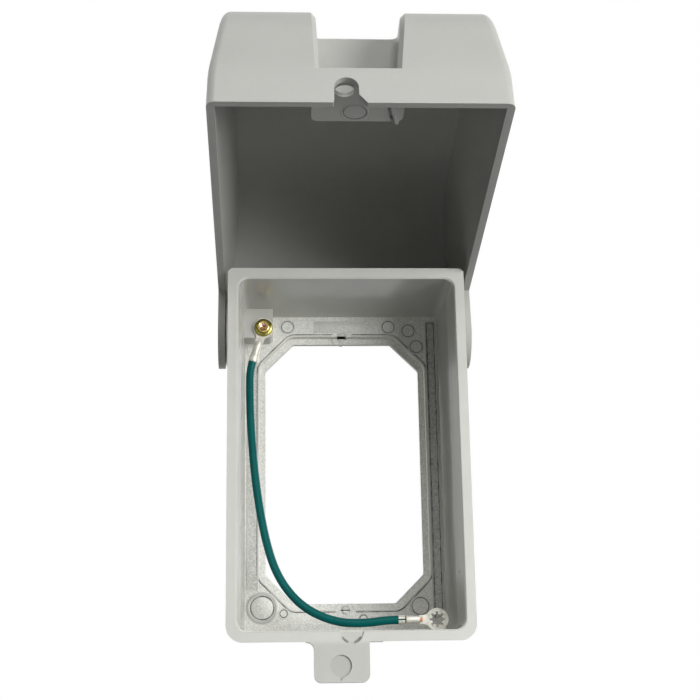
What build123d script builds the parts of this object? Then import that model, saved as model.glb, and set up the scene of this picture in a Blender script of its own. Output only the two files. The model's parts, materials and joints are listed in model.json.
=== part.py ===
from build123d import *
import math
import os

# Weatherproof in-use outlet cover: a cast frame that screws over an outlet box,
# a deep hood hinged near its top with a padlock pocket, and a grounding lead.
# Millimetres, +Z up, +X to the viewer's right, and the cover faces -Y.
# The origin is on the wall plane, half way between the two mounting screws.
# Levels are distances in front of the wall, so a level of 10 lies at y = -10.

# Outlet box screws, the standard that the cover is built round
screw_spacing = 83.34
screw_hole_diameter = 2.8
screw_web = 0.6

# Outlet opening between the two screws, with a recessed ledge round it
opening_width = 46.8
opening_chamfer = 8.5
opening_corner_radius = 1.2
ledge_side = 1.75
ledge_end = 1.9
ledge_chamfer_extra = 0.8
ledge_corner_radius = 4.0
ledge_depth = 2.0

# Frame: one casting, a flange with the opening and a drafted wall round it
frame_side_margin = 10.6
frame_end_margin = 11.43
frame_shift = -0.6
frame_top_bevel = 1.0
frame_bottom_radius = 4.6
flange_thickness = 3.5
interior_depth = 33.0
outer_draft = 5.2
rim_wall = 3.0
interior_draft = 2.78
interior_corner_radius = 3.0
rim_edge_bevel = 0.4

# Foam gasket, a little inside the flange's outline and a little outside its opening
gasket_thickness = 3.0
gasket_inset = 0.6
gasket_opening_margin = 0.9
gasket_corner_radius = 2.0

# Shallow round mark that an ejector pin leaves in the bottom rim
rim_mark_depth = 0.4
rim_mark_radius = 3.25
rim_mark_rise = 2.65

# Padlock tab, flush with the rim, with a blind knockout
tab_width = 15.0
tab_offset = -2.76
tab_drop = 10.7
tab_thickness = 3.0
tab_corner_radius = 2.0
tab_left_root_radius = 2.0
tab_right_root_radius = 3.5
tab_root_margin = 0.2
lock_x = -3.55
lock_drop = 5.9
knockout_shift = 0.5
knockout_diameter = 5.9
knockout_depth = 0.5
knockout_nib = 1.0

# Grounding pad in the upper left corner
pad_width = 12.95
pad_length = 13.3
pad_height = 7.5
pad_corner_radius = 1.5
ground_screw_from_side = 10.1
ground_screw_from_top = 10.4

# Hinge: a short pin pressed into a boss on each side of the frame
hinge_below_top = 15.23
hinge_behind_rim = 18.85
pin_diameter = 4.0
pin_seat_depth = 3.0
pin_clearance = 0.05
boss_radius = 8.5
boss_clearance = 0.3
ear_radius = 9.36
open_angle = 99.42

# Hood, given as it lies when shut
hood_wall = 2.0
hood_side_gap = 1.08
hood_end_gap = 1.43
hood_lap = 7.94
hood_projection = 27.15
skirt_depth = 10.1
skirt_draft = 1.6
skirt_blend = 40.0
side_draft = 8.6
end_draft = 10.4
hood_end_radius = 12.6
hood_edge_radius = 2.2
crown_radius = 32.0
crown_gap = 0.45
crown_lap = 0.65
cheek_rise = 10.0

# Padlock pocket in the hood's lower front edge, given at its mouth
pocket_offset = 0.3
pocket_width = 21.9
pocket_length = 20.6
pocket_left_draft = 1.5
pocket_right_draft = 5.4
pocket_back_draft = 2.1
pocket_wall = 1.5
pocket_right_foot = 1.3
pocket_floor = 1.2
pocket_corner_radius = 1.8
pocket_mouth_bevel = 1.1
pocket_tab_gap = 1.15
lock_hole_diameter = 4.9
notch_width = 6.0
notch_height = 7.4
notch_left_flare = 0.3
notch_left_flare_height = 1.0
notch_right_flare = 2.0
notch_right_flare_height = 2.4

# Ring terminals: stamped sheet with a toothed ring, a wire barrel and a grip
sheet = 0.5
ring_radius = 3.15
ring_bore_radius = 1.5
tooth_count = 8
tooth_slot_width = 0.55
tooth_slot_depth = 0.7
tongue_width = 2.6
tongue_blend = 1.5
barrel_start = 5.0
barrel_length = 3.75
barrel_radius = 1.05
strand_stub = 0.8
strand_gap = 0.4
grip_start = 9.15
grip_length = 1.85
grip_radius = 1.25
grip_seam = 0.45

# Grounding screw
screw_head_diameter = 5.75
screw_head_height = 1.9
screw_head_bevel = 0.6
screw_shank_diameter = 3.4
screw_shank_length = 5.0
screw_recess_width = 0.7
screw_recess_length = 3.0
screw_recess_depth = 1.0
thread_clearance = 0.03

# Lead: insulated stranded wire between the two terminals
wire_radius = 1.2

# Levels and places that follow from the sizes
opening_height = screw_spacing - screw_hole_diameter - 2 * screw_web
frame_width = opening_width + 2 * frame_side_margin
frame_height = screw_spacing + 2 * frame_end_margin
flange_level = gasket_thickness
floor_level = flange_level + flange_thickness
rim_level = floor_level + interior_depth
back_lean = (rim_level - flange_level) * math.tan(math.radians(outer_draft))
frame_top = frame_shift + frame_height / 2
frame_bottom = frame_shift - frame_height / 2
frame_side = frame_width / 2
tab_bottom = frame_bottom - tab_drop
tab_left = tab_offset - tab_width / 2
lock_z = frame_bottom - lock_drop
hinge_y = -(rim_level - hinge_behind_rim)
hinge_z = frame_top - hinge_below_top
hinge_axis = Axis((0, hinge_y, hinge_z), (-1, 0, 0))
pad_level = floor_level + pad_height
ground_x = -frame_side + ground_screw_from_side
ground_z = frame_top - ground_screw_from_top
gasket_width = frame_width - 2 * (back_lean + gasket_inset)
gasket_height = frame_height - 2 * (back_lean + gasket_inset)

hood_inner = frame_side + hood_side_gap
hood_outer = hood_inner + hood_wall
hood_inner_end = tab_bottom - hood_end_gap
hood_outer_end = hood_inner_end - hood_wall
hood_rim_level = rim_level - hood_lap
skirt_level = hood_rim_level + skirt_depth
hood_front_level = rim_level + hood_projection
inner_front_level = hood_front_level - hood_wall
crown_level = hood_front_level - crown_radius
tip_level = rim_level - crown_lap
tip_drop = tip_level - crown_level
crown_inner_radius = crown_radius - hood_wall
crown_inner_rise = math.sqrt(crown_inner_radius**2 - tip_drop**2)
crown_outer_rise = math.sqrt(crown_radius**2 - tip_drop**2)
crown_z = frame_top + crown_gap - crown_inner_rise
skirt_lean = skirt_depth * math.tan(math.radians(skirt_draft))
side_slope = math.tan(math.radians(side_draft))
end_slope = math.tan(math.radians(end_draft))
front_side_lean = skirt_lean + (hood_front_level - skirt_level) * side_slope
inner_side_lean = skirt_lean + (inner_front_level - skirt_level) * side_slope
front_end_lean = skirt_lean + (hood_front_level - skirt_level) * end_slope
inner_end_lean = skirt_lean + (inner_front_level - skirt_level) * end_slope

pocket_under_level = rim_level + pocket_tab_gap
pocket_floor_level = pocket_under_level + pocket_floor
pocket_back = hood_outer_end + pocket_length
mouth_left = pocket_offset - pocket_width / 2
mouth_right = pocket_offset + pocket_width / 2
pocket_depth = hood_front_level - pocket_floor_level
floor_left = mouth_left + pocket_depth * math.tan(math.radians(pocket_left_draft))
floor_right = mouth_right - pocket_depth * math.tan(math.radians(pocket_right_draft))
floor_back = pocket_back - pocket_depth * math.tan(math.radians(pocket_back_draft))


# Frame casting
with BuildPart() as base_frame:
    with BuildSketch(Plane.XZ.offset(rim_level)) as rim_outline:
        with Locations((0, frame_shift)):
            Rectangle(frame_width, frame_height)
        fillet(rim_outline.vertices().group_by(Axis.Y)[0], frame_bottom_radius)
    extrude(amount=-(rim_level - flange_level), taper=outer_draft)
    uprights = base_frame.edges().filter_by(lambda e: e.length > interior_depth and abs((e % 0.5).Y) > 0.9)
    chamfer(uprights.group_by(Axis.Z)[-1], frame_top_bevel)

    # Padlock tab below the bottom wall, flush with the rim
    with BuildSketch(Plane.XZ.offset(rim_level)) as tab_outline:
        with Locations((tab_left - tab_left_root_radius - tab_root_margin, frame_bottom)):
            Rectangle(
                tab_width + tab_left_root_radius + tab_right_root_radius + 2 * tab_root_margin,
                rim_wall,
                align=(Align.MIN, Align.MIN),
            )
        with Locations((tab_offset, frame_bottom)):
            Rectangle(tab_width, 2 * tab_drop)
        fillet(tab_outline.vertices().group_by(Axis.Y)[0], tab_corner_radius)
        roots = tab_outline.vertices().filter_by_position(Axis.Y, frame_bottom - 0.1, frame_bottom + 0.1)
        left_root, right_root = roots.sort_by(Axis.X)[1:3]
        fillet(left_root, tab_left_root_radius)
        fillet(right_root, tab_right_root_radius)
    extrude(amount=-tab_thickness)

    # Hinge bosses on the outer sides
    for side in (-1, 1):
        with BuildSketch(Plane.YZ.offset(side * (hood_inner - boss_clearance))):
            with Locations((hinge_y, hinge_z)):
                Circle(boss_radius)
        extrude(amount=-side * (hood_side_gap - boss_clearance + rim_wall))

    # Drafted interior, widest at the rim
    with BuildSketch(Plane.XZ.offset(rim_level)):
        with Locations((0, frame_shift)):
            RectangleRounded(frame_width - 2 * rim_wall, frame_height - 2 * rim_wall, interior_corner_radius)
    extrude(amount=-interior_depth, taper=interior_draft, mode=Mode.SUBTRACT)
    rim_face = base_frame.faces().sort_by(Axis.Y)[0]
    chamfer(rim_face.inner_wires()[0].edges(), rim_edge_bevel)

    # Grounding pad, joined to the left and top walls
    with BuildSketch(Plane.XZ.offset(flange_level)) as pad_outline:
        with Locations((-frame_side + pad_width, frame_top - pad_length)):
            Rectangle(
                pad_width - back_lean - rim_wall / 4,
                pad_length - back_lean - rim_wall / 4,
                align=(Align.MAX, Align.MIN),
            )
        fillet(pad_outline.vertices().group_by(Axis.X)[-1].sort_by(Axis.Y)[0], pad_corner_radius)
    extrude(amount=pad_level - flange_level)

    # Recessed ledge round the outlet opening, with the screw holes at its ends
    with BuildSketch(Plane.XZ.offset(floor_level)) as ledge:
        Rectangle(opening_width + 2 * ledge_side, opening_height + 2 * ledge_end)
        chamfer(ledge.vertices(), opening_chamfer + ledge_chamfer_extra)
        fillet(ledge.vertices(), ledge_corner_radius)
    extrude(amount=-ledge_depth, mode=Mode.SUBTRACT)
    with BuildSketch(Plane.XZ.offset(floor_level)) as opening:
        Rectangle(opening_width, opening_height)
        chamfer(opening.vertices(), opening_chamfer)
        fillet(opening.vertices(), opening_corner_radius)
    extrude(amount=-flange_thickness, mode=Mode.SUBTRACT)
    with Locations(Plane.XZ.offset(floor_level)):
        with GridLocations(0, screw_spacing, 1, 2):
            Hole(screw_hole_diameter / 2, flange_thickness)

    # Ejector mark, half way along the bottom rim
    with BuildSketch(Plane.XZ.offset(rim_level)):
        with Locations((0, frame_bottom + rim_mark_rise)):
            Circle(rim_mark_radius)
    extrude(amount=-rim_mark_depth, mode=Mode.SUBTRACT)

    # Shallow padlock knockout in the tab, with a nib below
    with BuildSketch(Plane.XZ.offset(rim_level)):
        with Locations((lock_x + knockout_shift, lock_z - knockout_shift)):
            Circle(knockout_diameter / 2)
        with Locations((lock_x + knockout_shift, lock_z - knockout_shift - knockout_diameter / 2)):
            RegularPolygon(knockout_nib, 3, rotation=-90)
    extrude(amount=-knockout_depth, mode=Mode.SUBTRACT)

    # Tapped ground hole and seats for the hinge pins
    with BuildSketch(Plane.XZ.offset(pad_level)):
        with Locations((ground_x, ground_z)):
            Circle(screw_shank_diameter / 2 + thread_clearance)
    extrude(amount=-screw_shank_length, mode=Mode.SUBTRACT)
    for side in (-1, 1):
        with BuildSketch(Plane.YZ.offset(side * (hood_inner - boss_clearance))):
            with Locations((hinge_y, hinge_z)):
                Circle(pin_diameter / 2)
        extrude(amount=-side * pin_seat_depth, mode=Mode.SUBTRACT)

# Foam gasket between the flange and the wall
with BuildPart() as wall_gasket:
    with BuildSketch(Plane.XZ):
        with Locations((0, frame_shift)):
            RectangleRounded(gasket_width, gasket_height, gasket_corner_radius)
        with BuildSketch(mode=Mode.SUBTRACT) as gasket_opening:
            Rectangle(opening_width + 2 * gasket_opening_margin, opening_height + 2 * gasket_opening_margin)
            chamfer(gasket_opening.vertices(), opening_chamfer)
        with GridLocations(0, screw_spacing, 1, 2):
            Circle(screw_hole_diameter / 2, mode=Mode.SUBTRACT)
    extrude(amount=gasket_thickness)

# Hood's outer form: the side profile and the cross section, met in one solid
with BuildPart() as hood_form:
    with BuildSketch(Plane.YZ) as side_profile:
        with BuildLine():
            rim_line = Polyline(
                (-tip_level, crown_z + crown_outer_rise),
                (-tip_level, crown_z + crown_inner_rise),
                (-hood_rim_level, hinge_z + cheek_rise),
                (-hood_rim_level, hood_outer_end),
                (-skirt_level, hood_outer_end + skirt_lean),
                (-hood_front_level, hood_outer_end + front_end_lean),
                (-hood_front_level, crown_z),
            )
            RadiusArc(rim_line @ 1, rim_line @ 0, crown_radius)
        make_face()
        fillet(side_profile.vertices().group_by(Axis.X)[0].sort_by(Axis.Y)[0], hood_end_radius)
        kinks = side_profile.vertices().filter_by_position(Axis.X, -skirt_level - 0.1, -skirt_level + 0.1)
        fillet(kinks, skirt_blend)
    extrude(amount=hood_outer, both=True)
    with BuildSketch(Plane.XY) as cross_section:
        with BuildLine():
            Polyline(
                (0, -hood_rim_level),
                (hood_outer, -hood_rim_level),
                (hood_outer - skirt_lean, -skirt_level),
                (hood_outer - front_side_lean, -hood_front_level),
                (0, -hood_front_level),
                (0, -hood_rim_level),
            )
        make_face()
        mirror(about=Plane.YZ)
        kinks = cross_section.vertices().filter_by_position(Axis.Y, -skirt_level - 0.1, -skirt_level + 0.1)
        fillet(kinks, skirt_blend)
    extrude(amount=2 * frame_height, both=True, mode=Mode.INTERSECT)

    # Rounded corners where the two cheeks meet the end wall, the front and the crown
    cheeks = hood_form.faces().filter_by(lambda f: abs(f.normal_at().X) > 0.9)
    corners = cheeks.edges().filter_by(lambda e: e.center().Y < -hood_rim_level - 0.1)
    corners = corners.filter_by(lambda e: abs((e % 0.5).Z) < 0.999 or e.center().Y < 0.1 - hood_front_level)
    corners = corners.filter_by(lambda e: e.center().Z < crown_z + crown_inner_rise - 6 or e.length > 20)
    fillet(corners, hood_edge_radius)

# Space inside the hood
with BuildPart() as hood_space:
    with BuildSketch(Plane.YZ) as inner_profile:
        with BuildLine():
            inner_line = Polyline(
                (0, crown_z + crown_inner_radius),
                (0, hood_inner_end),
                (-hood_rim_level, hood_inner_end),
                (-skirt_level, hood_inner_end + skirt_lean),
                (-inner_front_level, hood_inner_end + inner_end_lean),
                (-inner_front_level, crown_z),
            )
            RadiusArc(inner_line @ 1, (-crown_level, crown_z + crown_inner_radius), crown_inner_radius)
            Line((-crown_level, crown_z + crown_inner_radius), inner_line @ 0)
        make_face()
        fillet(inner_profile.vertices().group_by(Axis.X)[0].sort_by(Axis.Y)[0], hood_end_radius - hood_wall)
        kinks = inner_profile.vertices().filter_by_position(Axis.X, -skirt_level - 0.1, -skirt_level + 0.1)
        fillet(kinks, skirt_blend - hood_wall)
    extrude(amount=hood_inner, both=True)
    with BuildSketch(Plane.XY) as inner_section:
        with BuildLine():
            Polyline(
                (0, 0),
                (hood_inner, 0),
                (hood_inner, -hood_rim_level),
                (hood_inner - skirt_lean, -skirt_level),
                (hood_inner - inner_side_lean, -inner_front_level),
                (0, -inner_front_level),
                (0, 0),
            )
        make_face()
        mirror(about=Plane.YZ)
        kinks = inner_section.vertices().filter_by_position(Axis.Y, -skirt_level - 0.1, -skirt_level + 0.1)
        fillet(kinks, skirt_blend - hood_wall)
    extrude(amount=2 * frame_height, both=True, mode=Mode.INTERSECT)

# Walls and floor of the padlock pocket, trimmed to the hood's outer form
with BuildPart() as pocket:
    with BuildSketch(Plane.XZ.offset(hood_front_level)) as mouth_outside:
        with Locations((mouth_left - pocket_wall, pocket_back + pocket_wall)):
            Rectangle(pocket_width + 2 * pocket_wall, 2 * pocket_length, align=(Align.MIN, Align.MAX))
        fillet(mouth_outside.vertices().group_by(Axis.Y)[-1], pocket_corner_radius)
    with BuildSketch(Plane.XZ.offset(pocket_under_level)) as floor_outside:
        with Locations((floor_left - pocket_wall, floor_back + pocket_wall)):
            Rectangle(
                floor_right - floor_left + 2 * pocket_wall + pocket_right_foot,
                2 * pocket_length,
                align=(Align.MIN, Align.MAX),
            )
        fillet(floor_outside.vertices().group_by(Axis.Y)[-1], pocket_corner_radius)
    loft()
    add(hood_form.part, mode=Mode.INTERSECT)

# Hood casting, shut
with BuildPart() as hood_shut:
    add(hood_form.part)
    add(hood_space.part, mode=Mode.SUBTRACT)
    add(pocket.part)
    with BuildSketch(Plane.XZ.offset(hood_front_level)) as mouth:
        with Locations((mouth_left, pocket_back)):
            Rectangle(pocket_width, 2 * pocket_length, align=(Align.MIN, Align.MAX))
        fillet(mouth.vertices().group_by(Axis.Y)[-1], pocket_corner_radius)
    with BuildSketch(Plane.XZ.offset(pocket_floor_level)) as pocket_base:
        with Locations((floor_left, floor_back)):
            Rectangle(floor_right - floor_left, 2 * pocket_length, align=(Align.MIN, Align.MAX))
        fillet(pocket_base.vertices().group_by(Axis.Y)[-1], pocket_corner_radius)
    loft(mode=Mode.SUBTRACT)
    front = hood_shut.faces().filter_by(Axis.Y).sort_by(Axis.Y)[0]
    lips = front.edges().filter_by(lambda e: abs(e.center().X - pocket_offset) < pocket_width / 2 + 0.1)
    lips = lips.filter_by(lambda e: hood_outer_end < e.center().Z < pocket_back + 0.1)
    chamfer(lips, pocket_mouth_bevel)

    # Shackle hole in the pocket's floor and shackle notch in the end wall's rim
    with BuildSketch(Plane.XZ.offset(pocket_floor_level)):
        with Locations((lock_x, lock_z)):
            Circle(lock_hole_diameter / 2)
    extrude(amount=-2 * pocket_floor, mode=Mode.SUBTRACT)
    with BuildSketch(Plane.XY.offset(hood_outer_end - 1)):
        with Locations((lock_x, -hood_rim_level)):
            Rectangle(notch_width, 2 * notch_height - notch_width)
            Polygon(
                (-notch_width / 2 - notch_left_flare, 1),
                (-notch_width / 2 - notch_left_flare, 0),
                (-notch_width / 2, -notch_left_flare_height),
                (notch_width / 2, -notch_right_flare_height),
                (notch_width / 2 + notch_right_flare, 0),
                (notch_width / 2 + notch_right_flare, 1),
                align=None,
            )
        with Locations((lock_x, -hood_rim_level - notch_height + notch_width / 2)):
            Circle(notch_width / 2)
    extrude(amount=2 * hood_wall, mode=Mode.SUBTRACT)

    # Ears that reach back over the frame's bosses to the pins
    for side in (-1, 1):
        with BuildSketch(Plane.YZ.offset(side * hood_inner)):
            with Locations((hinge_y, hinge_z)):
                Circle(ear_radius)
            with Locations(((hinge_y - hood_rim_level) / 2, hinge_z)):
                Rectangle(hood_rim_level + hinge_y, 2 * ear_radius)
            with Locations((hinge_y, hinge_z)):
                Circle(pin_diameter / 2 + pin_clearance, mode=Mode.SUBTRACT)
        extrude(amount=side * hood_wall)

# Hood turned up about its pins to where it rests open
with BuildPart() as cover_hood:
    add(hood_shut.part.rotate(hinge_axis, open_angle))

# Hinge pins, pressed into the bosses and flush with the ears
with BuildPart() as hinge_pin_left:
    with BuildSketch(Plane.YZ.offset(-hood_outer)):
        with Locations((hinge_y, hinge_z)):
            Circle(pin_diameter / 2)
    extrude(amount=hood_wall + boss_clearance + pin_seat_depth)

with BuildPart() as hinge_pin_right:
    add(hinge_pin_left.part)
    mirror(about=Plane.YZ, mode=Mode.REPLACE)

# Ring terminal on its own axes: ring at the origin, barrel along +X, flat on z = 0
with BuildPart() as ring_terminal:
    with BuildSketch() as blank:
        Circle(ring_radius)
        with Locations((barrel_start / 2, 0)):
            Rectangle(barrel_start, tongue_width)
        fillet(blank.vertices().group_by(Axis.X)[0], tongue_blend)
        with Locations((barrel_start, 0)):
            Rectangle(2, barrel_radius)
        Circle(ring_bore_radius, mode=Mode.SUBTRACT)
        with PolarLocations(ring_bore_radius, tooth_count):
            Rectangle(2 * tooth_slot_depth, tooth_slot_width, mode=Mode.SUBTRACT)
    extrude(amount=sheet)
    with BuildSketch(Plane.YZ.offset(barrel_start)):
        with Locations((0, barrel_radius)):
            Circle(barrel_radius)
            Circle(barrel_radius - sheet, mode=Mode.SUBTRACT)
    extrude(amount=barrel_length)
    with BuildSketch(Plane.YZ.offset(barrel_start + barrel_length)):
        with Locations((0, barrel_radius)):
            Circle(barrel_radius)
            Circle(grip_radius - sheet, mode=Mode.SUBTRACT)
        with Locations((0, barrel_radius + grip_radius)):
            Rectangle(3 * grip_radius, 2 * grip_radius + sheet, mode=Mode.SUBTRACT)
    extrude(amount=grip_start - barrel_start - barrel_length)
    with BuildSketch(Plane.YZ.offset(grip_start)):
        with Locations((0, barrel_radius)):
            Circle(grip_radius)
            Circle(grip_radius - sheet, mode=Mode.SUBTRACT)
        with Locations((0, barrel_radius + grip_radius)):
            Rectangle(grip_seam, 2 * grip_radius, mode=Mode.SUBTRACT)
    extrude(amount=grip_length)

# Bare strands in the barrel, on the same axes
with BuildPart() as bare_strands:
    with BuildSketch(Plane.YZ.offset(barrel_start - strand_stub)):
        with Locations((0, barrel_radius)):
            Circle(barrel_radius - sheet)
    extrude(amount=strand_stub + barrel_length + strand_gap)

# One terminal lies under the ground screw, the other is free at the lead's lower end
fixed_dir = Vector(-0.29, 0, -0.957).normalized()
free_dir = Vector(-1, 0, -0.009).normalized()
fixed_seat = Plane(origin=(ground_x, -pad_level, ground_z), x_dir=fixed_dir, z_dir=(0, -1, 0))
free_seat = Plane(origin=(24.75, -25.05, -46.6), x_dir=free_dir, z_dir=(0, -1, 0))

with BuildPart() as ring_terminal_fixed:
    add(ring_terminal.part.moved(fixed_seat.location))

with BuildPart() as ring_terminal_free:
    add(ring_terminal.part.moved(free_seat.location))

with BuildPart() as wire_strands_fixed:
    add(bare_strands.part.moved(fixed_seat.location))

with BuildPart() as wire_strands_free:
    add(bare_strands.part.moved(free_seat.location))

# Ground screw: pan head with a cross recess
with BuildPart() as ground_screw:
    with BuildSketch(Plane.XZ.offset(pad_level + sheet)):
        with Locations((ground_x, ground_z)):
            Circle(screw_head_diameter / 2)
    extrude(amount=screw_head_height)
    chamfer(ground_screw.edges().sort_by(Axis.Y)[0], screw_head_bevel)
    with BuildSketch(Plane.XZ.offset(pad_level + sheet + screw_head_height)):
        with Locations((ground_x, ground_z)):
            Rectangle(screw_recess_length, screw_recess_width, rotation=30)
            Rectangle(screw_recess_width, screw_recess_length, rotation=30)
    extrude(amount=-screw_recess_depth, mode=Mode.SUBTRACT)
    with BuildSketch(Plane.XZ.offset(pad_level + sheet)):
        with Locations((ground_x, ground_z)):
            Circle(ring_bore_radius - thread_clearance)
    extrude(amount=-sheet)
    with BuildSketch(Plane.XZ.offset(pad_level)):
        with Locations((ground_x, ground_z)):
            Circle(screw_shank_diameter / 2)
    extrude(amount=-screw_shank_length + 0.5)

# Lead from terminal to terminal, straight runs joined by tangent arcs
grip_end = grip_start + grip_length
wire_start = fixed_seat.from_local_coords(Vector(grip_end, 0, barrel_radius))
wire_end = free_seat.from_local_coords(Vector(grip_end, 0, barrel_radius))
wire_points = [
    wire_start,
    wire_start + fixed_dir * 2.9,
    Vector(-28.0, -15.35, 22.3),
    Vector(-27.65, -16.15, 10.8),
    Vector(-26.2, -18.05, -6.6),
    Vector(-23.3, -20.7, -23.8),
    Vector(-19.6, -22.2, -34.7),
    Vector(-12.9, -23.75, -42.9),
    Vector(-3.6, -25.0, -47.2),
    Vector(4.8, -25.75, -47.5),
    wire_end + free_dir * 3.6,
    wire_end,
]
wire_radii = []
for before, corner, after in zip(wire_points, wire_points[1:], wire_points[2:]):
    run_in = corner - before
    run_out = after - corner
    turn = math.radians(run_in.get_angle(run_out))
    wire_radii.append(0.45 * min(run_in.length, run_out.length) / math.tan(turn / 2))
print("lead arc radii", [round(r, 1) for r in wire_radii])

with BuildPart() as ground_wire:
    with BuildLine() as wire_route:
        FilletPolyline(*wire_points, radius=wire_radii)
    with BuildSketch(Plane(origin=wire_route.line @ 0, z_dir=wire_route.line % 0)):
        Circle(wire_radius)
    sweep()
    # Insulation pinched down inside each grip
    for seat in (fixed_seat, free_seat):
        with BuildSketch(Plane(seat.from_local_coords(Vector(grip_end, 0, barrel_radius)), z_dir=seat.x_dir)):
            Circle(grip_radius - sheet)
        extrude(amount=-(grip_end - barrel_start - barrel_length - strand_gap))
print("lead length", round(wire_route.wire().length, 2), "tube volume", round(ground_wire.part.volume, 1))

base_frame.part.label = "base_frame"
cover_hood.part.label = "cover_hood"
wall_gasket.part.label = "wall_gasket"
hinge_pin_left.part.label = "hinge_pin_left"
hinge_pin_right.part.label = "hinge_pin_right"
ground_screw.part.label = "ground_screw"
ring_terminal_fixed.part.label = "ring_terminal_fixed"
ring_terminal_free.part.label = "ring_terminal_free"
wire_strands_fixed.part.label = "wire_strands_fixed"
wire_strands_free.part.label = "wire_strands_free"
ground_wire.part.label = "ground_wire"

os.makedirs("parts", exist_ok=True)
export_step(base_frame.part, "parts/base_frame.step")
export_step(cover_hood.part, "parts/cover_hood.step")
export_step(wall_gasket.part, "parts/wall_gasket.step")
export_step(hinge_pin_left.part, "parts/hinge_pin_left.step")
export_step(hinge_pin_right.part, "parts/hinge_pin_right.step")
export_step(ground_screw.part, "parts/ground_screw.step")
export_step(ring_terminal_fixed.part, "parts/ring_terminal_fixed.step")
export_step(ring_terminal_free.part, "parts/ring_terminal_free.step")
export_step(wire_strands_fixed.part, "parts/wire_strands_fixed.step")
export_step(wire_strands_free.part, "parts/wire_strands_free.step")
export_step(ground_wire.part, "parts/ground_wire.step")
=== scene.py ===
# %% [markdown]
# # A weatherproof in-use outlet cover
#
# The real thing is an aluminium die casting: a deep frame that screws over an
# outlet box, and a hood on two pins that shuts over the plugs in use. A green
# grounding lead runs from a pad in the frame to a loose ring terminal. The CAD
# solids already have the right shape and size, so this lesson dresses them:
# cast metal, plated screw, tinned terminals, copper strands and a glossy lead.
#
# Everything is in the same frame as the solids: the wall is the plane y = 0, the
# cover faces -Y and the origin is half way between the two mounting screws.
# Small pieces are drawn in millimetres, with their level, which is the distance
# in front of the wall.

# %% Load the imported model
import json
import math

import bmesh
import bpy
from mathutils import Matrix, Vector


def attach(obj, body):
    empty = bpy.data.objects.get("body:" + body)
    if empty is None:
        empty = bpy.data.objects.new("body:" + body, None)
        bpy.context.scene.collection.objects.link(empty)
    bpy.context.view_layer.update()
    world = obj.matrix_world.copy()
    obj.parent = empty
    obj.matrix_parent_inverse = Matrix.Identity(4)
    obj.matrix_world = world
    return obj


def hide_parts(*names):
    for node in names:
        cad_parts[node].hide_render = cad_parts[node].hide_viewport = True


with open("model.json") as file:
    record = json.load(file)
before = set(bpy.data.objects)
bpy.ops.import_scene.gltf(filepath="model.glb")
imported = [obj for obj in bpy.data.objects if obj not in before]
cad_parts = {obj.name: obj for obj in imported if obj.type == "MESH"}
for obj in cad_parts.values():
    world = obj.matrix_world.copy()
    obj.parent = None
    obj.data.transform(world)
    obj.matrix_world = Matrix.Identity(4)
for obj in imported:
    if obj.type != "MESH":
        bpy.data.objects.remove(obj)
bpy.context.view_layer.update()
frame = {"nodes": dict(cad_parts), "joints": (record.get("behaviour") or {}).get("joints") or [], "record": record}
MM = 0.001
print("nodes:", sorted(frame["nodes"]))

# %% [markdown]
# ## Node groups shared by the materials
#
# A cast face is never even: the die leaves a fine orange peel, and a rougher
# grain where the metal chilled quickly. Both could be painted into an image,
# but noise in the object's own coordinates follows every face at its true
# scale and needs no unwrapping. Each group is built once and placed in each
# finish with its own amounts.

# %% Helpers for shader node groups
def new_group(name, inputs, outputs):
    """A shader node group; inputs are (name, kind, default), outputs (name, kind)."""
    group = bpy.data.node_groups.new(name, "ShaderNodeTree")
    for label, kind, value in inputs:
        socket = group.interface.new_socket(name=label, in_out="INPUT", socket_type=kind)
        if value is not None:
            socket.default_value = value
    for label, kind in outputs:
        group.interface.new_socket(name=label, in_out="OUTPUT", socket_type=kind)
    enter = group.nodes.new("NodeGroupInput")
    leave = group.nodes.new("NodeGroupOutput")
    return group, enter, leave


def feed(group, socket, value):
    """Writes a number into an input socket, or links another node's output to it."""
    if isinstance(value, (int, float)):
        socket.default_value = value
    else:
        group.links.new(value, socket)


def noise(group, vector, scale, detail, roughness=0.5):
    """A noise texture over the given coordinates, in features per metre."""
    node = group.nodes.new("ShaderNodeTexNoise")
    node.inputs["Scale"].default_value = scale
    node.inputs["Detail"].default_value = detail
    node.inputs["Roughness"].default_value = roughness
    group.links.new(vector, node.inputs["Vector"])
    return node.outputs["Fac"]


def math_node(group, operation, *values, clamp=False):
    """The result of one Math node on numbers or other nodes' outputs."""
    node = group.nodes.new("ShaderNodeMath")
    node.operation = operation
    node.use_clamp = clamp
    for socket, value in zip(node.inputs, values):
        feed(group, socket, value)
    return node.outputs[0]


def add_parts(group, start, *parts):
    """A start value with each (mask, amount) product added to it."""
    total = start
    for mask, amount in parts:
        total = math_node(group, "MULTIPLY_ADD", mask, amount, total)
    return total


# %% Cast grain
cast_grain, grain_in, grain_out = new_group(
    "cast grain",
    [
        ("Position", "NodeSocketVector", None),
        ("Peel", "NodeSocketFloat", 0.3),
        ("Chill", "NodeSocketFloat", 0.2),
    ],
    [("Height", "NodeSocketFloat"), ("Speckle", "NodeSocketFloat"), ("Stain", "NodeSocketFloat")],
)
position = grain_in.outputs["Position"]
peel = noise(cast_grain, position, 700, 2, 0.5)
chill = noise(cast_grain, position, 2100, 3, 0.65)
stain = noise(cast_grain, position, 75, 4, 0.6)
height = add_parts(cast_grain, 0.0, (peel, grain_in.outputs["Peel"]), (chill, grain_in.outputs["Chill"]))
cast_grain.links.new(height, grain_out.inputs["Height"])
cast_grain.links.new(math_node(cast_grain, "SUBTRACT", chill, 0.5), grain_out.inputs["Speckle"])
cast_grain.links.new(math_node(cast_grain, "SUBTRACT", stain, 0.5), grain_out.inputs["Stain"])
print("groups:", [g.name for g in bpy.data.node_groups])

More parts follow.
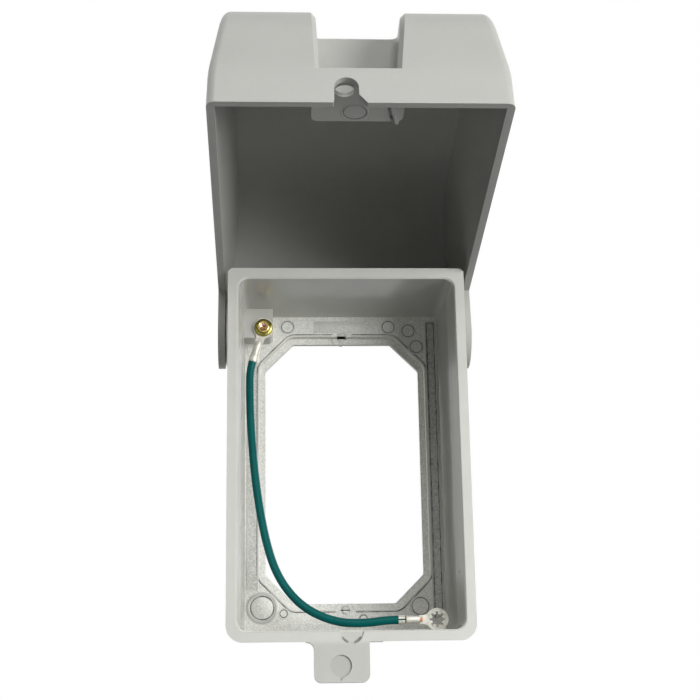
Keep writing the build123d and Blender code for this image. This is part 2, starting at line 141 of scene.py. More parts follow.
# %% [markdown]
# ## Materials
#
# Each finish is a Principled shader with its own values, fed by the shared
# groups for colour, roughness and bump. The nodes could be placed by hand for
# every finish, but a few helpers keep each one short enough to compare.

# %% Helpers for materials
def new_material(name, color, roughness, metallic=0.0, specular=0.5):
    """A material with a Principled shader; returns it, its tree and its shader."""
    material = bpy.data.materials.new(name)
    material.use_nodes = True
    shader = material.node_tree.nodes["Principled BSDF"]
    shader.inputs["Base Color"].default_value = (*color, 1)
    shader.inputs["Roughness"].default_value = roughness
    shader.inputs["Metallic"].default_value = metallic
    shader.inputs["Specular IOR Level"].default_value = specular
    return material, material.node_tree, shader


def object_position(tree):
    """The point's place in the object's own coordinates, in metres."""
    return tree.nodes.new("ShaderNodeTexCoord").outputs["Object"]


def group_node(tree, group, **values):
    """The group placed in a tree, with its inputs set or linked."""
    node = tree.nodes.new("ShaderNodeGroup")
    node.node_tree = group
    for label, value in values.items():
        feed(tree, node.inputs[label], value)
    return node


def scaled_color(tree, base, factor):
    """A colour times a factor."""
    scale = tree.nodes.new("ShaderNodeVectorMath")
    scale.operation = "SCALE"
    scale.inputs[0].default_value = base
    tree.links.new(factor, scale.inputs["Scale"])
    return scale.outputs[0]


def mixed_color(tree, factor, a, b):
    """A colour that runs from a to b with the factor."""
    mix = tree.nodes.new("ShaderNodeMix")
    mix.data_type = "RGBA"
    tree.links.new(factor, mix.inputs[0])
    mix.inputs[6].default_value = (*a, 1)
    mix.inputs[7].default_value = (*b, 1)
    return mix.outputs[2]


def add_bump(tree, shader, height, distance):
    """A bump of the given full height in metres, into the shader's normal."""
    bump = tree.nodes.new("ShaderNodeBump")
    bump.inputs["Distance"].default_value = distance
    tree.links.new(height, bump.inputs["Height"])
    tree.links.new(bump.outputs["Normal"], shader.inputs["Normal"])


# %% [markdown]
# ## The frame's casting
#
# One casting has three skins. The walls are smooth and half glossy from the
# polished die, the sunk floor has a coarse dull grain, and the rim is brighter
# where it was ground flat. The zones could be material slots, but the solid's
# faces aren't to be touched, so the material finds them by place: the floor by
# its level, the rim by its level, and the bare strips by their distance from
# the middle.

# %% Zones of a casting
def axes(group, vector):
    """The x, y and z of a vector."""
    split = group.nodes.new("ShaderNodeSeparateXYZ")
    group.links.new(vector, split.inputs[0])
    return split.outputs[0], split.outputs[1], split.outputs[2]


def band(group, value, low, high, soft):
    """1 where value lies between low and high, falling to 0 within soft of them."""
    above = math_node(group, "SUBTRACT", value, low - soft)
    below = math_node(group, "SUBTRACT", high + soft, value)
    rise = math_node(group, "DIVIDE", above, soft, clamp=True)
    fall = math_node(group, "DIVIDE", below, soft, clamp=True)
    return math_node(group, "MULTIPLY", rise, fall)


def zone(group, *spans):
    """1 inside all of some spans of (coordinate, low, high, soft edge), in mm."""
    inside = 1.0
    for coordinate, low, high, soft in spans:
        within = band(group, coordinate, low * MM, high * MM, soft * MM)
        inside = math_node(group, "MULTIPLY", within, inside)
    return inside


# %% Zones of the frame
FLOOR_LEVEL = 6.5
LEDGE_LEVEL = 4.5
RIM_LEVEL = 39.5
FRAME_GREY = (0.58, 0.58, 0.545)
frame_cast, tree, shader = new_material("cast frame", FRAME_GREY, 0.35, specular=0.4)
place = object_position(tree)
x, y, z = axes(tree, place)
level = math_node(tree, "MULTIPLY", y, -1.0)
between_walls = ((x, -30.2, 30.2, 0.2), (z, -50.8, 49.7, 0.2))
on_floor = zone(tree, *between_walls, (level, LEDGE_LEVEL - 0.5, FLOOR_LEVEL + 0.1, 0.2))
on_wall = zone(tree, *between_walls, (level, FLOOR_LEVEL + 0.4, RIM_LEVEL - 1.0, 0.2))
# Painted highlight: a bright band along the inner edge of the rim.
lip_painted_highlight = zone(tree, *between_walls, (level, RIM_LEVEL - 0.8, RIM_LEVEL - 0.2, 0.1))
on_rim = zone(tree, (level, RIM_LEVEL - 0.05, RIM_LEVEL + 1.5, 0.1))
on_tab = zone(tree, (z, -70.0, -54.5, 1.2), (level, RIM_LEVEL - 3.5, RIM_LEVEL + 1.5, 0.1))
right_strip = zone(tree, (x, 26.2, 28.5, 0.2), (z, -44.0, 46.0, 0.3))
left_strip = zone(tree, (x, -28.6, -25.8, 0.3), (z, -35.5, 34.0, 0.6))
on_strip = math_node(tree, "MULTIPLY", add_parts(tree, right_strip, (left_strip, 0.6)), on_floor)
print("zones of the frame:", len(tree.nodes), "nodes")

# %% Frame casting
grain = group_node(tree, cast_grain, Position=place, Peel=0.5, Chill=0.5)
worm = noise(tree, place, 950, 3, 0.6)
# The bare strips are painted darker in a worm pattern: painted shade for the shadows of their lettering.
worm_shade = math_node(tree, "MULTIPLY_ADD", worm, 0.75, 0.05, clamp=True)
tone = add_parts(
    tree,
    1.0,
    (grain.outputs["Stain"], 0.16),
    (math_node(tree, "MULTIPLY", grain.outputs["Speckle"], on_floor), 1.3),
    (on_floor, 0.28),
    # The inner walls are a little darker, partly a smoother die skin and partly painted shade of the deep frame.
    (on_wall, -0.12),
    # Painted highlight along the rim's inner edge.
    (lip_painted_highlight, 0.3),
    (on_rim, 0.12),
    (on_tab, -0.17),
    (math_node(tree, "MULTIPLY", on_strip, worm_shade), -1.0),
)
tree.links.new(scaled_color(tree, FRAME_GREY, tone), shader.inputs["Base Color"])
rough = add_parts(tree, 0.30, (on_floor, 0.14), (on_wall, -0.13), (grain.outputs["Stain"], 0.12))
tree.links.new(rough, shader.inputs["Roughness"])
floor_grain = math_node(tree, "MULTIPLY", grain.outputs["Height"], add_parts(tree, 0.10, (on_floor, 0.9)))
relief = add_parts(tree, floor_grain, (math_node(tree, "MULTIPLY", worm, on_strip), 0.8))
add_bump(tree, shader, relief, 0.22 * MM)
print("frame casting:", len(tree.nodes), "nodes")

# %% [markdown]
# ## The hood's casting
#
# The hood comes from a polished die, so its skin is smooth with a faint orange
# peel and soft stains. The same group gives both, with a much lower bump. The
# flat face under the padlock pocket is painted paler than the rest of the hood,
# as painted light for the brightness it catches. It could have a slot of its own,
# but again the solid's faces stay as they are, so the material finds it by
# turning each point back to where it lies when shut.

# %% Where the hood lies when shut
hood_hinge = frame["joints"][0]
HINGE = Vector([v / MM for v in hood_hinge["pos_m"]])
OPEN_ANGLE = math.radians(-hood_hinge["range_deg"][0])
POCKET_UNDER_LEVEL = 40.65
HOOD_EDGE = Vector((0, -66.65, -62.3))


def shut_to_open(place):
    """A point of the shut hood, in mm, where it lies at rest."""
    return HINGE + Matrix.Rotation(OPEN_ANGLE, 3, Vector((-1, 0, 0))) @ (place - HINGE)


print("hood's lower front edge rests at", [round(v, 1) for v in shut_to_open(HOOD_EDGE)])

# %% Hood casting
HOOD_GREY = (0.45, 0.45, 0.425)
hood_cast, tree, shader = new_material("cast hood", HOOD_GREY, 0.36, specular=0.15)
place = object_position(tree)
x, y, z = axes(tree, place)
cosine, sine = math.cos(OPEN_ANGLE), math.sin(OPEN_ANGLE)
from_hinge_y = math_node(tree, "SUBTRACT", y, HINGE.y * MM)
from_hinge_z = math_node(tree, "SUBTRACT", z, HINGE.z * MM)
shut_y = add_parts(tree, HINGE.y * MM, (from_hinge_y, cosine), (from_hinge_z, -sine))
shut_z = add_parts(tree, HINGE.z * MM, (from_hinge_y, sine), (from_hinge_z, cosine))
shut_level = math_node(tree, "MULTIPLY", shut_y, -1.0)
# Painted light: the face under the pocket is made brighter than the rest of the hood.
pocket_face_painted_light = zone(
    tree,
    (x, -16, 16, 1),
    (shut_z, -61, -44, 1),
    (shut_level, POCKET_UNDER_LEVEL - 1.05, POCKET_UNDER_LEVEL + 0.35, 0.2),
)
grain = group_node(tree, cast_grain, Position=place, Peel=0.7, Chill=0.3)
stain, speckle = grain.outputs["Stain"], grain.outputs["Speckle"]
tone = add_parts(tree, 1.0, (stain, 0.10), (speckle, 0.10), (pocket_face_painted_light, 0.45))
tree.links.new(scaled_color(tree, HOOD_GREY, tone), shader.inputs["Base Color"])
tree.links.new(add_parts(tree, 0.34, (stain, 0.15)), shader.inputs["Roughness"])
add_bump(tree, shader, grain.outputs["Height"], 0.02 * MM)
print("hood casting:", len(tree.nodes), "nodes")

# %% [markdown]
# ## Painted shade in grooves
#
# The fine grooves round the ejector marks, and the edges beside some ribs and
# beads, get a dark painted shade. A dark zone in the casting's material could
# show it, but a strip of its own along each burr keeps a clean edge. Its tone
# comes and goes, so a noise fades it back to the casting's own grey.

# %% Painted groove shade
# Painted shade: a dark material for the lines beside burrs, ribs and edges.
groove_painted_shade, tree, shader = new_material("painted groove shade", (0.2, 0.2, 0.19), 0.6)
patches = noise(tree, object_position(tree), 420, 2, 0.5)
amount = math_node(tree, "MULTIPLY_ADD", patches, 3.0, -1.0, clamp=True)
shade_color = mixed_color(tree, amount, (0.06, 0.06, 0.055), (0.34, 0.34, 0.32))
tree.links.new(shade_color, shader.inputs["Base Color"])
print("groove soil:", len(tree.nodes), "nodes")

# %% [markdown]
# ## Foam gasket
#
# Closed-cell foam is black and dull, with cut pores all over. Modelled pores
# would need a very dense mesh, so Voronoi cells give them as a bump and a change
# of tone, and noise breaks their evenness.

# %% Gasket foam
gasket_foam, tree, shader = new_material("gasket foam", (0.03, 0.03, 0.03), 0.9)
place = object_position(tree)
cells = tree.nodes.new("ShaderNodeTexVoronoi")
cells.inputs["Scale"].default_value = 1500
tree.links.new(place, cells.inputs["Vector"])
mottle = math_node(tree, "MULTIPLY", noise(tree, place, 500, 3), 0.5)
pores = add_parts(tree, mottle, (cells.outputs["Distance"], 0.8))
black = mixed_color(tree, pores, (0.012, 0.012, 0.012), (0.055, 0.055, 0.053))
tree.links.new(black, shader.inputs["Base Color"])
add_bump(tree, shader, pores, 0.2 * MM)
print("gasket foam:", len(tree.nodes), "nodes")

# %% [markdown]
# ## Bright metal
#
# Pins, screw, terminals and strands are small, so what the eye reads is their
# colour, how it varies and how sharp the highlights are. Each could have its own
# textures, but a shared group gives them all a fine rubbed grain and a slow
# variation, and each metal only has its own colours and amounts.

# %% Rubbed metal group
rubbed, rubbed_in, rubbed_out = new_group(
    "rubbed metal",
    [
        ("Position", "NodeSocketVector", None),
        ("Grain", "NodeSocketFloat", 2500.0),
        ("Roughness", "NodeSocketFloat", 0.3),
    ],
    [("Tint", "NodeSocketFloat"), ("Roughness", "NodeSocketFloat"), ("Height", "NodeSocketFloat")],
)
fine = noise(rubbed, rubbed_in.outputs["Position"], 2500, 2)
rubbed.links.new(rubbed_in.outputs["Grain"], fine.node.inputs["Scale"])
slow = noise(rubbed, rubbed_in.outputs["Position"], 650, 2)
tint = math_node(rubbed, "MULTIPLY_ADD", slow, 2.2, -0.6, clamp=True)
rubbing = math_node(rubbed, "SUBTRACT", fine, 0.5)
rough = add_parts(rubbed, rubbed_in.outputs["Roughness"], (rubbing, 0.3))
rubbed.links.new(tint, rubbed_out.inputs["Tint"])
rubbed.links.new(rough, rubbed_out.inputs["Roughness"])
rubbed.links.new(fine, rubbed_out.inputs["Height"])
print("rubbed metal:", len(rubbed.nodes), "nodes")

# %% Bright metals
def bright_metal(name, dark, light, roughness, grain, relief, metallic=1.0):
    """A metal whose colour wanders between two tones, with a rubbed grain."""
    material, tree, shader = new_material(name, light, roughness, metallic)
    node = group_node(tree, rubbed, Position=object_position(tree), Grain=grain, Roughness=roughness)
    tree.links.new(mixed_color(tree, node.outputs["Tint"], dark, light), shader.inputs["Base Color"])
    tree.links.new(node.outputs["Roughness"], shader.inputs["Roughness"])
    add_bump(tree, shader, node.outputs["Height"], relief * MM)
    return material


pin_steel = bright_metal("pin steel", (0.42, 0.42, 0.40), (0.62, 0.62, 0.60), 0.3, 3000, 0.01)
tinned = bright_metal("tinned sheet", (0.58, 0.57, 0.50), (0.86, 0.84, 0.76), 0.42, 2200, 0.04, 0.35)
copper = bright_metal("copper strands", (0.55, 0.20, 0.08), (0.95, 0.45, 0.20), 0.3, 3000, 0.01, 0.6)
gold = bright_metal("yellow plating", (0.30, 0.27, 0.07), (0.95, 0.70, 0.25), 0.22, 2500, 0.015)
# Painted shade: a darker copy of the yellow plating, for the flange.
shaded_plating = bright_metal("plating in shade", (0.10, 0.09, 0.02), (0.42, 0.38, 0.10), 0.3, 2500, 0.02)
pink = bright_metal("plating in the recess", (0.45, 0.26, 0.20), (0.95, 0.72, 0.62), 0.25, 2500, 0.015)
print("metals:", [m.name for m in (pin_steel, tinned, copper, gold, shaded_plating, pink)])

# %% [markdown]
# ## Green insulation
#
# The jacket is extruded vinyl: an even deep green with a soft sheen and very
# fine drawn lines. A plain gloss would look like glass, so the roughness wanders
# a little and a low bump breaks the highlight.

# %% Insulation
insulation, tree, shader = new_material("green insulation", (0.0, 0.11, 0.10), 0.3, specular=0.13)
place = object_position(tree)
green = mixed_color(tree, noise(tree, place, 160, 3), (0.0, 0.08, 0.076), (0.0, 0.122, 0.114))
tree.links.new(green, shader.inputs["Base Color"])
tree.links.new(add_parts(tree, 0.24, (noise(tree, place, 900, 2), 0.16)), shader.inputs["Roughness"])
add_bump(tree, shader, noise(tree, place, 1400, 2), 0.03 * MM)
print("insulation:", len(tree.nodes), "nodes")

# %% [markdown]
# ## Finishes of the solids
#
# The solids could be modelled again for the picture, but they are already right.
# Each keeps its mesh, and only its material slots change.

# %% Assign the finishes
finishes = {
    "base_frame": frame_cast,
    "cover_hood": hood_cast,
    "wall_gasket": gasket_foam,
    "hinge_pin_left": pin_steel,
    "hinge_pin_right": pin_steel,
    "ring_terminal_fixed": tinned,
    "ring_terminal_free": tinned,
}
for node, material in finishes.items():
    for slot in frame["nodes"][node].material_slots:
        slot.material = material
print("finished nodes:", len(finishes))

# %% [markdown]
# ## Mesh helpers
#
# Small cast details are narrow ridges, flat lands and turned shapes. Each could
# be a boolean on the casting, but that would change the solid, so they are laid
# on its faces as meshes of their own: a profile swept along a path, an outline
# with a bevelled edge, or a profile turned about an axis.

# %% Mesh pieces
def mesh_in_metres(name, build):
    """A mesh that a function builds in mm."""
    form = bmesh.new()
    build(form)
    bmesh.ops.recalc_face_normals(form, faces=form.faces)
    bmesh.ops.scale(form, vec=(MM, MM, MM), verts=form.verts)
    mesh = bpy.data.meshes.new(name)
    form.to_mesh(mesh)
    form.free()
    return mesh


def linked_object(name, data):
    """An object of a mesh, curve, lamp or camera, linked to the scene."""
    made = bpy.data.objects.new(name, data)
    bpy.context.collection.objects.link(made)
    return made


def mesh_piece(name, body, materials, build):
    """A small piece of one or more materials, riding on a body."""
    mesh = mesh_in_metres(name, build)
    for material in materials:
        mesh.materials.append(material)
    mesh.shade_smooth()
    piece = linked_object(name, mesh)
    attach(piece, body)
    print(name, len(mesh.polygons), "faces")
    return piece


# %% Swept ridges and joined rings
def circle_path(centre, radius, start=0, end=360, steps=48):
    """Points (x, z) on a circle, from one angle to another in degrees."""
    count = steps + (end - start < 360)
    turns = [math.radians(start + (end - start) * i / steps) for i in range(count)]
    return [(centre[0] + radius * math.cos(a), centre[1] + radius * math.sin(a)) for a in turns]


def sweep_profile(form, path, profile, level, closed=False, material=0, lift=None):
    """Sweeps (offset, rise) pairs along a path of (x, z) on the face at a level."""
    rows = []
    for i, (px, pz) in enumerate(path):
        a = path[i - 1] if closed or i else path[i]
        b = path[(i + 1) % len(path)] if closed or i + 1 < len(path) else path[i]
        along = Vector((b[0] - a[0], b[1] - a[1])).normalized()
        row = [Vector((px - along.y * off, -(level + up), pz + along.x * off)) for off, up in profile]
        rows.append([form.verts.new(lift(p) if lift else p) for p in row])
    for i in range(len(rows) - (not closed)):
        a, b = rows[i], rows[(i + 1) % len(rows)]
        for j in range(len(profile) - 1):
            form.faces.new((a[j], a[j + 1], b[j + 1], b[j])).material_index = material


def join_rings(form, rings, close_first=True):
    """Joins closed rings of corners one after another, and closes the ends."""
    for a, b in zip(rings, rings[1:]):
        for i in range(len(a)):
            j = (i + 1) % len(a)
            form.faces.new((a[i], a[j], b[j], b[i]))
    if close_first:
        form.faces.new(rings[0])
    form.faces.new(rings[-1])


# %% [markdown]
# ## Marks on the frame's floor
#
# Ejector pins push the casting out of its die and leave round marks, each with a
# fine burr and a groove. A texture could draw them, but a real burr catches the
# light, so each is a small ridge swept round a circle, with painted shade in the
# groove beside it.

# %% Ejector marks
RIDGE = [(-0.26, -0.05), (-0.14, 0.17), (0, 0.21), (0.14, 0.17), (0.26, -0.05)]
EJECTOR_MARKS = (
    ((-16.6, 44.74), 2.2),
    ((14.43, 44.72), 2.2),
    ((20.6, 43.5), 2.25),
    ((23.0, 38.44), 2.25),
    ((22.0, -40.8), 2.85),
    ((-18.1, -42.6), 1.45),
    ((5.2, -44.3), 1.45),
)


def pin_mark(form, centre, radius, level=FLOOR_LEVEL, lift=None):
    """A burr with painted shade in a groove inside it."""
    groove = [(0.2, 0.03), (0.34, 0.035), (0.5, 0.03)]
    sweep_profile(form, circle_path(centre, radius), RIDGE, level, True, 0, lift)
    sweep_profile(form, circle_path(centre, radius), groove, level, True, 1, lift)


def build_floor_marks(form):
    """All the ejector marks of the floor."""
    for centre, radius in EJECTOR_MARKS:
        pin_mark(form, centre, radius)


mesh_piece("floor_marks", "frame", [frame_cast, groove_painted_shade], build_floor_marks)

# %% [markdown]
# ## Ribs and lands of the floor
#
# Two long ribs, joined at the top by round corners, frame a bare strip beside
# the right wall, and two lower ones frame a strip on the left. A low bare land
# lies above the opening, and a round land with a raised lip lies in the lower
# left corner. They could be cut into the casting, but all are shallow, so they
# are laid on it.

# %% Floor ribs
RIGHT_STRIP_RIBS = (25.9, 28.95)
RIGHT_STRIP_FOOT = -44.2
LEFT_STRIP_RIBS = (-28.75, -25.65)
LEFT_STRIP_ENDS = (-35.6, 30.0)
CORNER_RADIUS = 0.85
CORNER_HEIGHT = 45.6


def build_floor_ribs(form):
    """The ribs on both sides of the floor, with painted shade along the right ones."""
    rib = [(-0.24, -0.05), (-0.15, 0.3), (0, 0.38), (0.15, 0.3), (0.24, -0.05)]
    # Painted shade along the side of the right ribs.
    shade_strip = [(-0.6, 0.03), (-0.42, 0.035), (-0.24, 0.03)]
    left, right = RIGHT_STRIP_RIBS
    path = [(left, RIGHT_STRIP_FOOT), (left, 0)]
    path += circle_path((left + CORNER_RADIUS, CORNER_HEIGHT), CORNER_RADIUS, 180, 90, 6)
    path += circle_path((right - CORNER_RADIUS, CORNER_HEIGHT), CORNER_RADIUS, 90, 0, 6)
    path += [(right, 0), (right, RIGHT_STRIP_FOOT)]
    for profile, material in ((rib, 0), (shade_strip, 1)):
        sweep_profile(form, path, profile, FLOOR_LEVEL, material=material)
    foot, top = LEFT_STRIP_ENDS
    for rib_x in LEFT_STRIP_RIBS:
        sweep_profile(form, [(rib_x, foot), (rib_x, 0), (rib_x, top)], RIDGE, FLOOR_LEVEL)


mesh_piece("floor_ribs", "frame", [frame_cast, groove_painted_shade], build_floor_ribs)

# %% Floor lands
UPPER_LAND = [(-8.7, 42.9), (7.6, 42.9), (7.6, 46.6), (-8.7, 46.6)]
ROUND_LAND = (-24.35, -40.9)
ROUND_LAND_RADIUS = 3.7


def land(form, outline, level, rise, bevel):
    """A low flat land with bevelled sides on the face at a level."""
    middle = Vector([sum(values) / len(outline) for values in zip(*outline)])
    foot = [form.verts.new((px, -(level - 0.05), pz)) for px, pz in outline]
    top = []
    for px, pz in outline:
        inward = (middle - Vector((px, pz))).normalized() * bevel
        top.append(form.verts.new((px + inward.x, -(level + rise), pz + inward.y)))
    join_rings(form, [foot, top], close_first=False)


def build_floor_lands(form):
    """The land above the opening, and the round one with its lip and groove."""
    land(form, UPPER_LAND, FLOOR_LEVEL, 0.12, 0.2)
    land(form, circle_path(ROUND_LAND, ROUND_LAND_RADIUS), FLOOR_LEVEL, 0.06, 0.15)
    lip = [(-0.7, -0.05), (-0.4, 0.28), (0, 0.36), (0.4, 0.28), (0.7, -0.05)]
    sweep_profile(form, circle_path(ROUND_LAND, ROUND_LAND_RADIUS + 0.5), lip, FLOOR_LEVEL, True)
    groove = [(-0.2, 0.07), (0, 0.075), (0.2, 0.07)]
    sweep_profile(form, circle_path(ROUND_LAND, ROUND_LAND_RADIUS - 0.3), groove, FLOOR_LEVEL, True, 1)


mesh_piece("floor_lands", "frame", [frame_cast, groove_painted_shade], build_floor_lands)

# %% [markdown]
# ## Painted shade at the mark on the rim
#
# A round mark sits on the rim above the padlock tab, with painted shade along its
# lower edge. The mark is in the solid already, so only the painted shade is
# added, as two short swept arcs.

# %% Rim shade
RIM_MARK = (0, -51.05)
SHADE_ARC_RADIUS = 2.95
SHADE_ARC_STARTS = (208, 290)
SHADE_ARC_TURN = 42


def build_rim_shade(form):
    """Two arcs of painted shade along the lower edge of the rim's mark."""
    # Painted shade along the lower edge of the mark.
    shade_arc = [(-0.32, 0.01), (-0.1, 0.03), (0.1, 0.03), (0.32, 0.01)]
    for start in SHADE_ARC_STARTS:
        arc = circle_path(RIM_MARK, SHADE_ARC_RADIUS, start, start + SHADE_ARC_TURN, 10)
        sweep_profile(form, arc, shade_arc, RIM_LEVEL)


mesh_piece("rim_painted_shade", "frame", [groove_painted_shade], build_rim_shade)

# %% [markdown]
# ## Bead round the ledge
#
# The die leaves a fine raised bead where the floor drops to the ledge, with
# painted shade along its outer side. It follows the ledge's outline and stops at
# the bosses of the two mounting holes. One closed sweep would cross the bosses, so
# it is swept as two halves.

# %% Ledge bead
LEDGE_HALF = (25.15, 41.57)
LEDGE_CHAMFER = 9.3
BEAD_GAP = 0.3
BEAD_END = 3.0
BEND_REACH = 1.7


def ledge_half_path(side):
    """Half of the ledge's outline, from the top to the bottom, a gap outside it."""
    half_x, half_z = LEDGE_HALF[0] + BEAD_GAP, LEDGE_HALF[1] + BEAD_GAP
    cut = LEDGE_CHAMFER + BEAD_GAP * (2 - math.sqrt(2))
    upper = [(half_x - cut, half_z), (half_x, half_z - cut)]
    lower = [(half_x, cut - half_z), (half_x - cut, -half_z)]
    corners = upper + lower
    ends = [(BEAD_END, half_z)] + corners + [(BEAD_END, -half_z)]
    path = [ends[0]]
    for before, corner, after in zip(ends, corners, ends[2:]):
        here = Vector(corner)
        start = here + (Vector(before) - here).normalized() * BEND_REACH
        stop = here + (Vector(after) - here).normalized() * BEND_REACH
        for t in (0, 0.25, 0.5, 0.75, 1):
            path.append(tuple(start * (1 - t) ** 2 + here * 2 * t * (1 - t) + stop * t**2))
    path.append(ends[-1])
    return [(side * px, pz) for px, pz in path]


def build_ledge_bead(form):
    """The bead on both sides, with painted shade along its outer side."""
    bead = [(-0.28, -0.05), (-0.16, 0.16), (0, 0.2), (0.16, 0.16), (0.28, -0.05)]
    # Painted shade along the bead's outer side.
    shade_strip = [(0.28, 0.03), (0.42, 0.035), (0.58, 0.03)]
    for side in (1, -1):
        outer = [(side * off, rise) for off, rise in shade_strip]
        sweep_profile(form, ledge_half_path(side), bead, FLOOR_LEVEL)
        sweep_profile(form, ledge_half_path(side), outer, FLOOR_LEVEL, material=1)


mesh_piece("ledge_bead", "frame", [frame_cast, groove_painted_shade], build_ledge_bead)

# %% [markdown]
# ## Round the mounting holes
#
# Each mounting hole stands in a round boss that the ledge cuts through, so arcs
# of the boss show on the ledge. Behind each hole all is black, as where foam
# isn't punched and the screw pierces it. The hole could be left open, but then
# the background would show, so a thin foam disc closes it.

# %% Boss arcs
screw_dims = frame["record"]["mounts"][0]["dims"]
MOUNT_SCREW_Z = screw_dims["spacing_y_mm"] / 2
HOLE_RADIUS = screw_dims["hole_r_mm"]
BOSS_RADIUS = 2.7
ARC_STARTS = (188, 312)
ARC_TURN = 40


def build_boss_arcs(form):
    """Two arcs of each boss, mirrored from the upper hole to the lower."""
    for side in (1, -1):
        for start in ARC_STARTS:
            end = start + ARC_TURN
            angles = (start, end) if side > 0 else (-end, -start)
            arc = circle_path((0, side * MOUNT_SCREW_Z), BOSS_RADIUS, *angles, 10)
            sweep_profile(form, arc, RIDGE, LEDGE_LEVEL)


mesh_piece("boss_arcs", "frame", [frame_cast], build_boss_arcs)

# %% Foam discs
FOAM_RADIUS = HOLE_RADIUS - 0.02


def build_hole_foam(form):
    """A plug of foam in each mounting hole, with a dished front."""
    for side in (1, -1):
        rings = []
        for radius, level in ((FOAM_RADIUS, 0.3), (FOAM_RADIUS, 2.6), (1.1, 2.85), (0.5, 2.7)):
            around = circle_path((0, side * MOUNT_SCREW_Z), radius, steps=32)
            rings.append([form.verts.new((px, -level, pz)) for px, pz in around])
        join_rings(form, rings)


mesh_piece("hole_foam", "frame", [gasket_foam], build_hole_foam)

# %% [markdown]
# ## Webs in the mounting holes
#
# Each mounting hole shows only as a dark slit, as where a thin web of metal
# closes it until the screw breaks through. A whole disc could be cut by a slot,
# but two segments are simpler: one at the floor's level and one at the ledge's,
# so the slit between them shows the dark foam.

# %% Hole webs
WEB_RADIUS = HOLE_RADIUS - 0.01
WEB_THICK = 0.4


def build_hole_webs(form):
    """Two segments in each mounting hole, at the levels of the faces round it."""
    for side in (1, -1):
        for level, low, high in ((FLOOR_LEVEL - 0.2, 10, 170), (LEDGE_LEVEL - 0.1, 188, 352)):
            upper = circle_path((0, MOUNT_SCREW_Z), WEB_RADIUS, low, high, 20)
            arc = [(px, side * pz) for px, pz in upper]
            faces = (level, level - WEB_THICK)
            join_rings(form, [[form.verts.new((px, -face, pz)) for px, pz in arc] for face in faces])


mesh_piece("hole_webs", "frame", [frame_cast], build_hole_webs)

# %% [markdown]
# ## Marks under the padlock pocket
#
# The pocket's underside has its own ejector mark, and a low rib of flash beside
# it. Both could be drawn on the raised hood, but its underside slants there, so
# they are drawn where they lie when it is shut and then turned up with it. They
# ride on the hood, and the rib is low enough to clear the rim when shut.

# %% Pocket mark
POCKET_PIN = (-0.6, -50.6)
POCKET_PIN_RADIUS = 3.3
FLASH_PATH = [(8.4, -55.5), (8.9, -52.5), (9.5, -49.5), (10.2, -46.6)]


def under_pocket(place):
    """These marks face the wall when shut, so their rise is taken off the level."""
    return shut_to_open(Vector((place.x, -2 * POCKET_UNDER_LEVEL - place.y, place.z)))


def build_pocket_mark(form):
    """The ejector mark, the rib of flash and painted shade at its side."""
    flash = [(-0.6, -0.05), (-0.35, 0.8), (0, 0.95), (0.35, 0.8), (0.6, -0.05)]
    # Painted shade: the dark strip beside the flash rib.
    stain = [(0.55, 0.02), (0.95, 0.05), (1.4, 0.02)]
    pin_mark(form, POCKET_PIN, POCKET_PIN_RADIUS, POCKET_UNDER_LEVEL, under_pocket)
    for profile, material in ((flash, 0), (stain, 1)):
        sweep_profile(form, FLASH_PATH, profile, POCKET_UNDER_LEVEL, False, material, under_pocket)


mesh_piece("pocket_mark", "hood", [hood_cast, groove_painted_shade], build_pocket_mark)

# %% [markdown]
# ## Grounding screw
#
# A yellow plated screw with a flange: a thin domed washer face, a raised collar
# and a cross recess in its middle. The head is turned from a profile. The recess
# could be modelled face by face, but a boolean with a tapered cross keeps the
# collar round. The plating has three tones: dark olive at the flange, gold on the
# collar and pink in the recess. The dark olive is painted shade, a shaded copy of
# the gold plating.

# %% Turned shapes
def turn_profile(form, profile, seat, steps, materials=None):
    """Turns (radius, height) pairs about the seat's third axis."""
    rings = []
    for radius, rise in profile:
        turns = [2 * math.pi * i / steps for i in range(steps)] if radius else [0]
        points = [Vector((radius * math.cos(a), radius * math.sin(a), rise)) for a in turns]
        rings.append([form.verts.new(seat @ p) for p in points])
    for k, (a, b) in enumerate(zip(rings, rings[1:])):
        for i in range(steps):
            j = (i + 1) % steps
            corners = [a[i % len(a)], a[j % len(a)], b[j % len(b)], b[i % len(b)]]
            face = form.faces.new(list(dict.fromkeys(corners)))
            face.material_index = materials[k] if materials else 0


# %% Grounding screw
PAD_LEVEL = 14.0
SHEET = 0.5
GROUND_SCREW = (-23.9, 42.1)
GOLD, OLIVE, PINK = 0, 1, 2
on_terminal = Matrix.Translation((GROUND_SCREW[0], -PAD_LEVEL - SHEET, GROUND_SCREW[1]))
SCREW_SEAT = on_terminal @ Matrix.Rotation(math.radians(90), 4, "X")


def build_screw(form):
    """The head: flange, collar and the dished middle that takes the recess."""
    back = [(0, 0.02), (2.7, 0.02)]
    flange = [(2.76, 0.15), (2.74, 0.42), (2.58, 0.62), (2.3, 0.72), (1.98, 0.78), (1.92, 0.9)]
    collar = [(1.9, 1.45), (1.78, 1.72), (1.55, 1.84), (1.3, 1.82), (1.1, 1.62)]
    dish = [(1.0, 1.3), (0.6, 1.2), (0, 1.18)]
    # The flange takes the darker copy of the plating, as painted shade.
    tones = [GOLD] * 2 + [OLIVE] * 6 + [GOLD] * 4 + [PINK] * 3
    turn_profile(form, back + flange + collar + dish, SCREW_SEAT, 48, tones)


screw_head = mesh_piece("screw_head", "frame", [gold, shaded_plating, pink], build_screw)

# %% Cross recess
SQUARE = ((-1, -1), (1, -1), (1, 1), (-1, 1))


